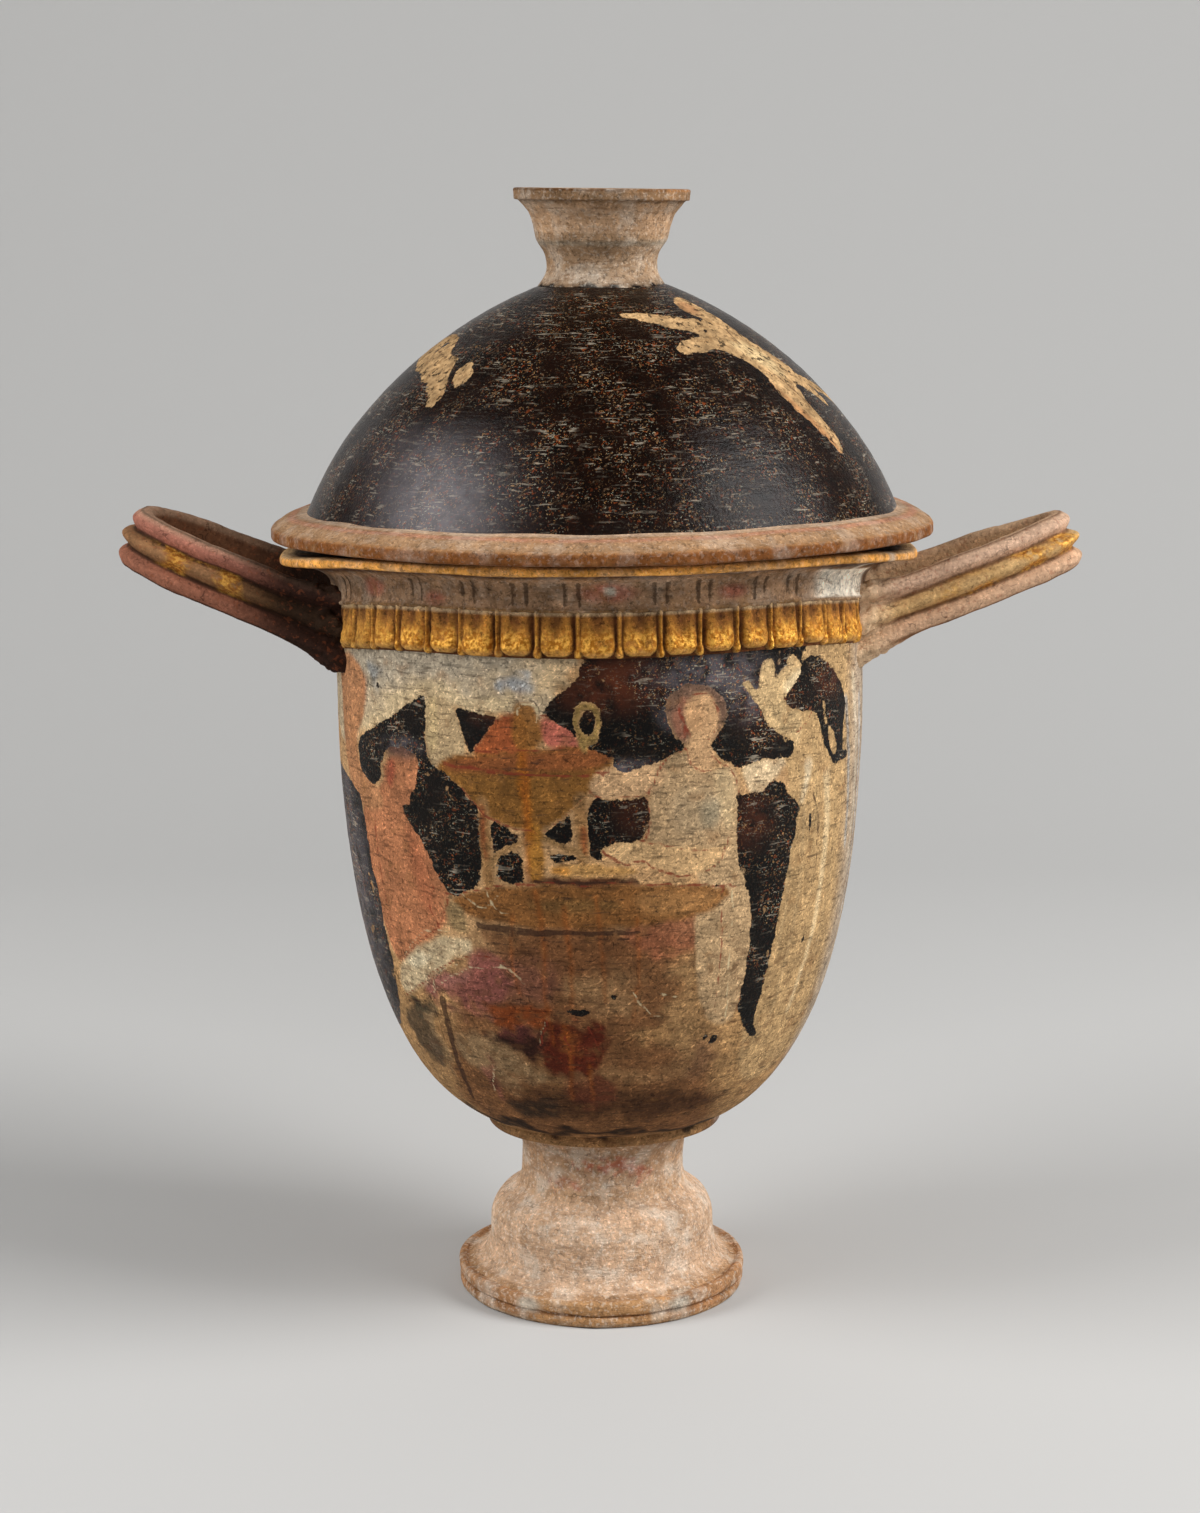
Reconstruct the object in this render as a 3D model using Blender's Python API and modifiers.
"""Lidded pyxis of painted terracotta, standing on a stemmed foot.

The vessel is one fired piece: foot, bowl, out-turned rim, two strap handles with three ridges each, and a
frieze of tongues and darts that was pressed on under the neck. The lid is the other piece: a dome with a
flat flange and a cup-shaped knob. It has no hinge, lies loose on the rim, and lifts off.

Sizes are in metres. +Z is up, +X points to the handle on the right, and the front faces -Y. The origin is
on the ground under the middle of the foot.
"""

import math

import bmesh
import bpy
from mathutils import Matrix

# Roundness
ROUND_STEPS = 36
DOME_STEPS = 8

# Foot: a level plate, a bell above it and a narrow stem
PLATE_RADIUS = 0.0559
PLATE_HEIGHT = 0.0103
PLATE_EDGE = 0.0010
PLATE_GROOVE = 0.0009
PLATE_GROOVE_HEIGHT = 0.0046
PLATE_STEP_IN = 0.0007
BELL_FLARE_RADIUS = 0.0492
BELL_FLARE_BEND = 0.0030
BELL_RADIUS = 0.0432
BELL_HEIGHT = 0.0310
BELL_SIDE_HEIGHT = 0.0140
BELL_SIDE_BEND = 0.0050
BELL_SHOULDER_IN = 0.0030
BELL_SHOULDER_DROP = 0.0090
BELL_NECK_DROP = 0.0055
STEM_RADIUS = 0.0314
STEM_HEIGHT = 0.0250
STEM_WIDENING = 0.0110
FOOT_WALL = 0.0070

# Bowl: an egg-shaped wall on a thin edge, straight towards the top
BOWL_EDGE_RADIUS = 0.0450
BOWL_EDGE_HEIGHT = 0.0012
EGG_HEIGHT = 0.1750
EGG_ROUNDNESS_UP = 2.29
EGG_ROUNDNESS_OUT = 3.48
BOWL_RADIUS = 0.0989
STRAIGHT_HEIGHT = 0.0207
BOWL_WALL = 0.0050
BOWL_FLOOR = 0.0080
BOWL_FLOOR_RADIUS = 0.0235

# Frieze, neck and rim
TONGUE_COUNT = 44
FRIEZE_HEIGHT = 0.0156
TONGUE_WIDTH = 0.0116
TONGUE_RELIEF = 0.0036
TONGUE_SINK = 0.0008
DART_WIDTH = 0.0030
DART_RELIEF = 0.0026
DART_OVERHANG = 0.0008
NECK_RADIUS = 0.1000
NECK_HEIGHT = 0.0142
NECK_WALL = 0.0052
RIM_RADIUS = 0.1188
RIM_THICKNESS = 0.0037
RIM_EDGE = 0.0011

# Handles: a ridged strap bent to a flat loop that rises outwards
HANDLE_SPAN = 0.3585
HANDLE_ROOT_IN = 0.0870
HANDLE_HALF_WIDTH_LEFT = 0.0280
HANDLE_HALF_WIDTH_RIGHT = 0.0225
HANDLE_ROUNDNESS_LEFT = 3.00
HANDLE_ROUNDNESS_RIGHT = 2.05
HANDLE_RISE_LEFT = 23.6
HANDLE_RISE_RIGHT = 20.1
HANDLE_ROOT_HEIGHT = 0.2650
HANDLE_STEPS = 14
HANDLE_FLARE = 1.10
HANDLE_FLARE_SHARE = 0.45
STRAP_HEIGHT = 0.0220
STRAP_THICKNESS = 0.0052
RIDGE_COUNT = 3
RIDGE_RELIEF = 0.0026
RIDGE_MIDDLE_EXTRA = 0.0016
ROOT_CLEAR_ANGLE = 7.0

# Lid: flange, dome, inner lip and knob
LID_GAP = 0.0003
FLANGE_RADIUS = 0.1236
FLANGE_EDGE = 0.0052
FLANGE_CROWN = 0.0044
FLANGE_ROUNDING = 0.0016
DOME_RADIUS = 0.1100
DOME_RISE = 0.0848
DOME_CUT = 0.8475
DOME_ROUNDNESS_OUT = 1.561
DOME_ROUNDNESS_UP = 2.644
DOME_WALL = 0.0050
LIP_CLEARANCE = 0.0032
LIP_DEPTH = 0.0060
LIP_WIDTH = 0.0045
KNOB_FOOT_RADIUS = 0.0236
KNOB_FOOT_RISE = 0.0900
KNOB_WAIST_RADIUS = 0.0204
KNOB_WAIST_HEIGHT = 0.0080
KNOB_STEP_RADIUS = 0.0242
KNOB_STEP_HEIGHT = 0.0160
KNOB_STEP_BEND = 0.0035
KNOB_CUP_RADIUS = 0.0256
KNOB_CUP_BEND = 0.0100
KNOB_RIM_RADIUS = 0.0327
KNOB_RIM_HEIGHT = 0.0036
KNOB_RIM_UNDERCUT = 0.0015
KNOB_HEIGHT = 0.0344
KNOB_WALL = 0.0048
KNOB_CUP_DEPTH = 0.0160
KNOB_CUP_ROUNDING = 0.0030

# How far the hand-made piece departs from a true turned one
LEAN = 0.60
STEM_DRIFT = 0.0010
RIM_SAG = 0.0078
FLANGE_SAG = 0.0023
SAG_POWER = 6.0
SAG_REACH = 0.0650
FLANGE_SAG_REACH = 0.0350
KNOB_TILT = 0.66

# Making
MERGE = 0.00005
CUT_BEYOND = 0.0050
SHARP_ANGLE = 35.0

# Where things end up
plate_top = PLATE_HEIGHT
bell_top = plate_top + BELL_HEIGHT
stem_top = bell_top + STEM_HEIGHT
egg_top = stem_top + EGG_HEIGHT
frieze_bottom = egg_top + STRAIGHT_HEIGHT
frieze_top = frieze_bottom + FRIEZE_HEIGHT
rim_bottom = frieze_top + NECK_HEIGHT
rim_top = rim_bottom + RIM_THICKNESS
mouth_radius = NECK_RADIUS - NECK_WALL
lean_slope = math.tan(math.radians(LEAN))
knob_slope = math.tan(math.radians(KNOB_TILT))


def remove_everything():
    """Start from an empty scene."""
    for obj in list(bpy.data.objects):
        bpy.data.objects.remove(obj)


def new_collection(name):
    """Add a collection to the scene."""
    collection = bpy.data.collections.new(name)
    bpy.context.scene.collection.children.link(collection)
    return collection


def finish_material(name, colour, roughness):
    """Make a Principled material with one colour."""
    material = bpy.data.materials.new(name)
    material.use_nodes = True
    shader = material.node_tree.nodes["Principled BSDF"]
    shader.inputs["Base Color"].default_value = (*colour, 1.0)
    shader.inputs["Roughness"].default_value = roughness
    shader.inputs["Metallic"].default_value = 0.0
    return material


def smooth(share):
    """Ease from 0 to 1 as share goes from 0 to 1."""
    share = min(max(share, 0.0), 1.0)
    return share * share * (3.0 - 2.0 * share)


def bend(start, corner, end, steps):
    """Points of a quadratic curve that leaves start and reaches end, drawn towards corner."""
    points = []
    for step in range(1, steps + 1):
        t = step / steps
        r = (1 - t) ** 2 * start[0] + 2 * t * (1 - t) * corner[0] + t ** 2 * end[0]
        z = (1 - t) ** 2 * start[1] + 2 * t * (1 - t) * corner[1] + t ** 2 * end[1]
        points.append((r, z))
    return points


def egg_curve(radius, height, top, lowest_radius, steps):
    """Wall of the bowl: part of a superellipse that starts upright at top and turns under."""
    last = math.acos((lowest_radius / radius) ** (EGG_ROUNDNESS_OUT / 2))
    points = []
    for step in range(1, steps + 1):
        angle = last * step / steps
        r = radius * math.cos(angle) ** (2 / EGG_ROUNDNESS_OUT)
        drop = height * math.sin(angle) ** (2 / EGG_ROUNDNESS_UP)
        points.append((r, top - drop))
    return points


def dome_height(r, radius, rise):
    """Height of the dome over its foot at radius r: a superellipse, of which a share is used."""
    def arch(share):
        return (1 - share ** DOME_ROUNDNESS_OUT) ** (1 / DOME_ROUNDNESS_UP)
    foot = arch(DOME_CUT)
    return rise * (arch(DOME_CUT * min(r / radius, 1.0)) - foot) / (1 - foot)


def turned(name, outline, steps, collection):
    """Turn an outline of radius and height round the Z axis."""
    mesh = bpy.data.meshes.new(name)
    edges = [(i, i + 1) for i in range(len(outline) - 1)]
    mesh.from_pydata([(r, 0.0, z) for r, z in outline], edges, [])
    obj = bpy.data.objects.new(name, mesh)
    collection.objects.link(obj)
    screw = obj.modifiers.new("turn", "SCREW")
    screw.axis = "Z"
    screw.angle = math.tau
    screw.steps = steps
    screw.render_steps = steps
    screw.use_merge_vertices = True
    screw.merge_threshold = MERGE
    return obj


def made_mesh(obj):
    """Replace an object by a plain mesh of its evaluated shape, with loose caps welded on."""
    bpy.context.view_layer.update()
    graph = bpy.context.evaluated_depsgraph_get()
    mesh = bpy.data.meshes.new_from_object(obj.evaluated_get(graph))
    name = obj.name
    collection = obj.users_collection[0]
    matrix = obj.matrix_world.copy()
    bpy.data.objects.remove(obj)
    shape = bmesh.new()
    shape.from_mesh(mesh)
    bmesh.ops.remove_doubles(shape, verts=shape.verts, dist=MERGE)
    bmesh.ops.recalc_face_normals(shape, faces=shape.faces)
    shape.to_mesh(mesh)
    shape.free()
    mesh.name = name
    made = bpy.data.objects.new(name, mesh)
    made.matrix_world = matrix
    collection.objects.link(made)
    return made


def move_points(obj, rule):
    """Move each vertex of an object to where rule puts its point."""
    for vertex in obj.data.vertices:
        vertex.co = rule(*vertex.co)


def as_guide(obj):
    """Keep a shape that only joins or cuts out of the finished model."""
    obj.hide_render = True
    obj.display_type = "WIRE"


def combine(obj, other, operation):
    """Join or cut obj with other."""
    boolean = obj.modifiers.new(other.name, "BOOLEAN")
    boolean.operation = operation
    boolean.object = other
    boolean.solver = "EXACT"


def vessel_shift(z):
    """Sideways place of the vessel's axis at height z: its foot is upright, its bowl leans."""
    drift = STEM_DRIFT * smooth((z - bell_top) / STEM_HEIGHT)
    return drift - lean_slope * max(z - stem_top, 0.0)


def sideways(x, y):
    """Tell how far round from the front or the back towards a handle a point lies, from 0 to 1."""
    radius = max(math.hypot(x, y), 0.5 * NECK_RADIUS)
    return (abs(x) / radius) ** SAG_POWER


def vessel_form(x, y, z):
    """Let the turned vessel lean to the left, and its rim sag over both handles."""
    sag = RIM_SAG * sideways(x, y) * smooth((z - frieze_bottom + SAG_REACH) / SAG_REACH)
    tilt = lean_slope * x * smooth((z - plate_top) / (bell_top - plate_top))
    return x + vessel_shift(z), y, z + tilt - sag


def lid_form(x, y, z):
    """Let the lid lean with the rim it lies on, its flange sag a little, and its knob lean back."""
    back = smooth((z - KNOB_FOOT_RISE) / KNOB_HEIGHT)
    slope = lean_slope * (1 - back) - knob_slope * back
    sag = FLANGE_SAG * sideways(x, y) * (1 - smooth((z - FLANGE_EDGE) / FLANGE_SAG_REACH))
    return x, y, z + slope * x - sag


def vessel_outline():
    """Outer outline, from the axis over the rim and down to the axis under the foot."""
    rim_under = RIM_RADIUS - RIM_EDGE
    neck_bottom = (NECK_RADIUS, frieze_top)
    points = [(0.0, rim_top), (rim_under, rim_top), (RIM_RADIUS, rim_top - RIM_EDGE)]
    points += [(RIM_RADIUS, rim_bottom + RIM_EDGE), (rim_under, rim_bottom)]
    points += bend(points[-1], (NECK_RADIUS, rim_bottom), neck_bottom, 3)
    points += [(BOWL_RADIUS, frieze_bottom), (BOWL_RADIUS, egg_top)]
    points += egg_curve(BOWL_RADIUS, EGG_HEIGHT, egg_top, BOWL_EDGE_RADIUS, 8)
    edge_bottom = (BOWL_EDGE_RADIUS, stem_top + BOWL_EDGE_HEIGHT)
    stem_upper = (STEM_RADIUS, stem_top - STEM_WIDENING)
    points += [edge_bottom] + bend(edge_bottom, (STEM_RADIUS, stem_top), stem_upper, 3)
    return points + bell_outline() + plate_outline()


def bell_outline():
    """Stem's lower end, rounded shoulder and side of the bell, flaring out on the plate."""
    stem_lower = (STEM_RADIUS, bell_top)
    shoulder = (BELL_RADIUS - BELL_SHOULDER_IN, bell_top - BELL_SHOULDER_DROP)
    bell_side = (BELL_RADIUS, plate_top + BELL_SIDE_HEIGHT)
    flare_end = (BELL_FLARE_RADIUS, plate_top)
    points = [stem_lower] + bend(stem_lower, (STEM_RADIUS, bell_top - BELL_NECK_DROP), shoulder, 3)
    points += bend(shoulder, (BELL_RADIUS, bell_side[1] + BELL_SIDE_BEND), bell_side, 2)
    return points + bend(bell_side, (BELL_RADIUS, plate_top + BELL_FLARE_BEND), flare_end, 2)


def plate_outline():
    """Edge of the foot plate, a groove with a slighter step under it, and the underside."""
    edge = PLATE_RADIUS - PLATE_EDGE
    step = PLATE_RADIUS - PLATE_STEP_IN
    groove = (PLATE_RADIUS - PLATE_STEP_IN - PLATE_GROOVE, PLATE_GROOVE_HEIGHT)
    points = [(edge, plate_top), (PLATE_RADIUS, plate_top - PLATE_EDGE)]
    points += [(PLATE_RADIUS, PLATE_GROOVE_HEIGHT + PLATE_GROOVE), groove]
    points += [(step, PLATE_GROOVE_HEIGHT - PLATE_GROOVE), (step, PLATE_EDGE), (step - PLATE_EDGE, 0.0)]
    return points + [(0.0, 0.0)]


def bowl_hollow_outline():
    """Inside of the bowl, from above the mouth down to the floor."""
    radius = BOWL_RADIUS - BOWL_WALL
    floor = stem_top + BOWL_FLOOR
    depth = egg_top - floor
    above = rim_top + CUT_BEYOND
    points = [(0.0, above), (mouth_radius, above), (mouth_radius, frieze_top), (radius, frieze_bottom)]
    points += [(radius, egg_top)]
    points += egg_curve(radius, depth, egg_top, BOWL_FLOOR_RADIUS, 4)
    return points + [(0.0, floor)]


def foot_hollow_outline():
    """Inside of the foot, from under the bowl's floor down to below the plate."""
    stem = STEM_RADIUS - FOOT_WALL
    bell = BELL_RADIUS - FOOT_WALL
    ceiling = stem_top - FOOT_WALL
    mouth = BELL_FLARE_RADIUS - FOOT_WALL
    points = [(0.0, ceiling), (stem, ceiling), (stem, bell_top - FOOT_WALL)]
    points += [(bell, bell_top - BELL_SHOULDER_DROP - FOOT_WALL), (bell, plate_top)]
    return points + [(mouth, 0.0), (mouth, -CUT_BEYOND), (0.0, -CUT_BEYOND)]


def pressed_shape(width, relief, length, steps, rounding):
    """A flattened bullet with a flat top at z = 0, as wide as width, its end bent in some steps."""
    radius = width / 2
    outline = [(0.0, 0.0), (radius, 0.0), (radius, radius - length)]
    outline += bend(outline[-1], (radius, -length), (0.0, -length), rounding)
    bullet = made_mesh(turned("bullet", outline, steps, guides))
    for vertex in bullet.data.vertices:
        vertex.co.x *= relief / radius
    mesh = bullet.data
    bpy.data.objects.remove(bullet)
    return mesh


def handle_shape(side):
    """Half width, roundness and rise of one handle: the two were bent and set on by eye."""
    if side > 0:
        return HANDLE_HALF_WIDTH_RIGHT, HANDLE_ROUNDNESS_RIGHT, math.radians(HANDLE_RISE_RIGHT)
    return HANDLE_HALF_WIDTH_LEFT, HANDLE_ROUNDNESS_LEFT, math.radians(HANDLE_RISE_LEFT)


def meets_handle(degrees):
    """Tell whether the clay of a handle's root covers the frieze at this angle."""
    for side, centre in ((1, 0.0), (-1, 180.0)):
        half = math.degrees(math.asin(handle_shape(side)[0] / BOWL_RADIUS))
        for root in (centre - half, centre + half):
            if abs((degrees - root + 180.0) % 360.0 - 180.0) < ROOT_CLEAR_ANGLE:
                return True
    return False


def add_frieze():
    """Set the tongues and the darts between them round the vessel."""
    tongue = pressed_shape(TONGUE_WIDTH, TONGUE_RELIEF, FRIEZE_HEIGHT, 8, 2)
    dart = pressed_shape(DART_WIDTH, DART_RELIEF, FRIEZE_HEIGHT + DART_OVERHANG, 4, 1)
    shape = bmesh.new()
    for index in range(2 * TONGUE_COUNT):
        degrees = 270.0 + 180.0 * index / TONGUE_COUNT
        if meets_handle(degrees):
            continue
        start = len(shape.verts)
        shape.from_mesh(dart if index % 2 else tongue)
        shape.verts.ensure_lookup_table()
        turn = Matrix.Rotation(math.radians(degrees), 4, "Z")
        place = Matrix.Translation((BOWL_RADIUS - TONGUE_SINK, 0.0, frieze_top))
        bmesh.ops.transform(shape, matrix=turn @ place, verts=shape.verts[start:])
    mesh = bpy.data.meshes.new("frieze")
    shape.to_mesh(mesh)
    shape.free()
    frieze = bpy.data.objects.new("frieze", mesh)
    guides.objects.link(frieze)
    return frieze


def strap_section():
    """Section of the strap: smooth towards the loop, three rounded ridges on the outside."""
    half = STRAP_HEIGHT / 2
    ridge = STRAP_HEIGHT / RIDGE_COUNT
    samples = 4 * RIDGE_COUNT
    points = [(-STRAP_THICKNESS / 2, half), (-STRAP_THICKNESS / 2, -half)]
    for index in range(samples + 1):
        height = -half + STRAP_HEIGHT * index / samples
        swell = abs(math.sin(math.pi * (height + half) / ridge))
        extra = RIDGE_MIDDLE_EXTRA * swell if abs(height) < ridge / 2 else 0.0
        points.append((STRAP_THICKNESS / 2 + RIDGE_RELIEF * swell + extra, height))
    curve = bpy.data.curves.new("strap section", "CURVE")
    curve.dimensions = "2D"
    spline = curve.splines.new("POLY")
    spline.points.add(len(points) - 1)
    for point, (out, up) in zip(spline.points, points):
        point.co = (out, up, 0.0, 1.0)
    spline.use_cyclic_u = True
    section = bpy.data.objects.new("strap section", curve)
    guides.objects.link(section)
    as_guide(section)
    return section


def add_handle(name, side, section):
    """Bend the strap to a loop: half a superellipse with both ends inside the wall."""
    half_width, roundness, rise = handle_shape(side)
    outermost = STRAP_THICKNESS / 2 + RIDGE_RELIEF + RIDGE_MIDDLE_EXTRA
    tip_shift = side * vessel_shift(HANDLE_ROOT_HEIGHT + math.tan(rise) * (HANDLE_SPAN / 2 - BOWL_RADIUS))
    reach = (HANDLE_SPAN / 2 - tip_shift - HANDLE_ROOT_IN) / math.cos(rise) - outermost
    curve = bpy.data.curves.new(name, "CURVE")
    curve.dimensions = "3D"
    curve.twist_mode = "Z_UP"
    curve.bevel_mode = "OBJECT"
    curve.bevel_object = section
    curve.use_fill_caps = True
    spline = curve.splines.new("POLY")
    spline.points.add(HANDLE_STEPS)
    for index, point in enumerate(spline.points):
        angle = math.pi * (index / HANDLE_STEPS - 0.5)
        out = reach * abs(math.cos(angle)) ** (2 / roundness)
        across = math.copysign(half_width * abs(math.sin(angle)) ** (2 / roundness), angle)
        point.co = (out, across, 0.0, 1.0)
        point.radius = 1 + (HANDLE_FLARE - 1) * (1 - smooth(out / (HANDLE_FLARE_SHARE * reach)))
    handle = bpy.data.objects.new(name, curve)
    guides.objects.link(handle)
    place = Matrix.Translation((side * HANDLE_ROOT_IN, 0.0, HANDLE_ROOT_HEIGHT))
    turn = Matrix.Rotation(0.0 if side > 0 else math.pi, 4, "Z")
    handle.matrix_world = place @ turn @ Matrix.Rotation(-rise, 4, "Y")
    handle = made_mesh(handle)
    handle.data.transform(handle.matrix_world)
    handle.matrix_world = Matrix.Identity(4)
    return handle


def add_vessel():
    """Foot, bowl, rim, handles and frieze as one solid, hollow above and under the foot."""
    vessel = made_mesh(turned("bowl", vessel_outline(), ROUND_STEPS, pyxis))
    move_points(vessel, vessel_form)
    section = strap_section()
    joined = [add_handle("right handle", 1, section), add_handle("left handle", -1, section), add_frieze()]
    cut = [made_mesh(turned("bowl hollow", bowl_hollow_outline(), ROUND_STEPS, guides))]
    cut += [made_mesh(turned("foot hollow", foot_hollow_outline(), ROUND_STEPS, guides))]
    for shape in joined + cut:
        move_points(shape, vessel_form)
        as_guide(shape)
        combine(vessel, shape, "UNION" if shape in joined else "DIFFERENCE")
    return vessel


def knob_outline():
    """Knob, from the axis of its cup over the rim and down its side to the dome."""
    top = KNOB_FOOT_RISE + KNOB_HEIGHT
    cup = KNOB_RIM_RADIUS - KNOB_WALL
    neck = KNOB_FOOT_RISE + KNOB_STEP_HEIGHT
    cup_floor = top - KNOB_CUP_DEPTH
    cup_inside = KNOB_CUP_RADIUS - KNOB_WALL
    foot_height = dome_height(KNOB_FOOT_RADIUS, DOME_RADIUS, DOME_RISE) + FLANGE_EDGE + FLANGE_CROWN
    points = [(0.0, cup_floor), (cup_inside - KNOB_CUP_ROUNDING, cup_floor)]
    points += [(cup_inside, cup_floor + KNOB_CUP_ROUNDING), (cup, top)]
    points += [(KNOB_RIM_RADIUS, top), (KNOB_RIM_RADIUS, top - KNOB_RIM_HEIGHT)]
    under = (KNOB_RIM_RADIUS - KNOB_RIM_UNDERCUT, top - KNOB_RIM_HEIGHT)
    step = (KNOB_STEP_RADIUS, neck)
    waist = (KNOB_WAIST_RADIUS, KNOB_FOOT_RISE + KNOB_WAIST_HEIGHT)
    foot = (KNOB_FOOT_RADIUS, foot_height)
    points += [under] + bend(under, (KNOB_CUP_RADIUS, top - KNOB_CUP_BEND), step, 3)
    points += bend(step, (KNOB_WAIST_RADIUS, neck - KNOB_STEP_BEND), waist, 2)
    return points + bend(waist, (KNOB_WAIST_RADIUS, foot_height), foot, 2)


def dome_outline():
    """Dome, flange, lip and the hollow inside, from the knob's foot round to the axis."""
    base = FLANGE_EDGE + FLANGE_CROWN
    points = []
    for step in range(1, DOME_STEPS + 1):
        r = KNOB_FOOT_RADIUS + (DOME_RADIUS - KNOB_FOOT_RADIUS) * step / DOME_STEPS
        points.append((r, base + dome_height(r, DOME_RADIUS, DOME_RISE)))
    edge = FLANGE_RADIUS - FLANGE_ROUNDING
    shoulder = (edge - FLANGE_ROUNDING, FLANGE_EDGE)
    points += [shoulder, (FLANGE_RADIUS, FLANGE_EDGE - FLANGE_ROUNDING)]
    points += [(FLANGE_RADIUS, FLANGE_ROUNDING), (edge, 0.0)]
    lip_outside = mouth_radius - LIP_CLEARANCE
    lip_inside = lip_outside - LIP_WIDTH
    points += [(lip_outside, 0.0), (lip_outside, -LIP_DEPTH), (lip_inside, -LIP_DEPTH)]
    inner_radius = DOME_RADIUS - DOME_WALL
    inner_rise = DOME_RISE - DOME_WALL
    points += [(lip_inside, FLANGE_EDGE), (inner_radius, base)]
    for step in range(1, DOME_STEPS):
        r = inner_radius * (1 - step / (DOME_STEPS - 1))
        points.append((r, base + dome_height(r, inner_radius, inner_rise)))
    return points


def add_lid():
    """The lid, whose object sits on the rim so that moving the object lifts it off."""
    lid = made_mesh(turned("lid", knob_outline() + dome_outline(), ROUND_STEPS, pyxis))
    move_points(lid, lid_form)
    lid.location.z = rim_top + LID_GAP
    return lid


remove_everything()
pyxis = new_collection("pyxis")
guides = new_collection("cutters and joined shapes")
bowl = add_vessel()
lid = add_lid()
bowl.data.materials.append(finish_material("painted terracotta", (0.36, 0.24, 0.14), 0.75))
lid.data.materials.append(finish_material("black slip on terracotta", (0.05, 0.04, 0.04), 0.45))
for piece in (bowl, lid):
    piece.data.shade_smooth()
    piece.data.set_sharp_from_angle(angle=math.radians(SHARP_ANGLE))
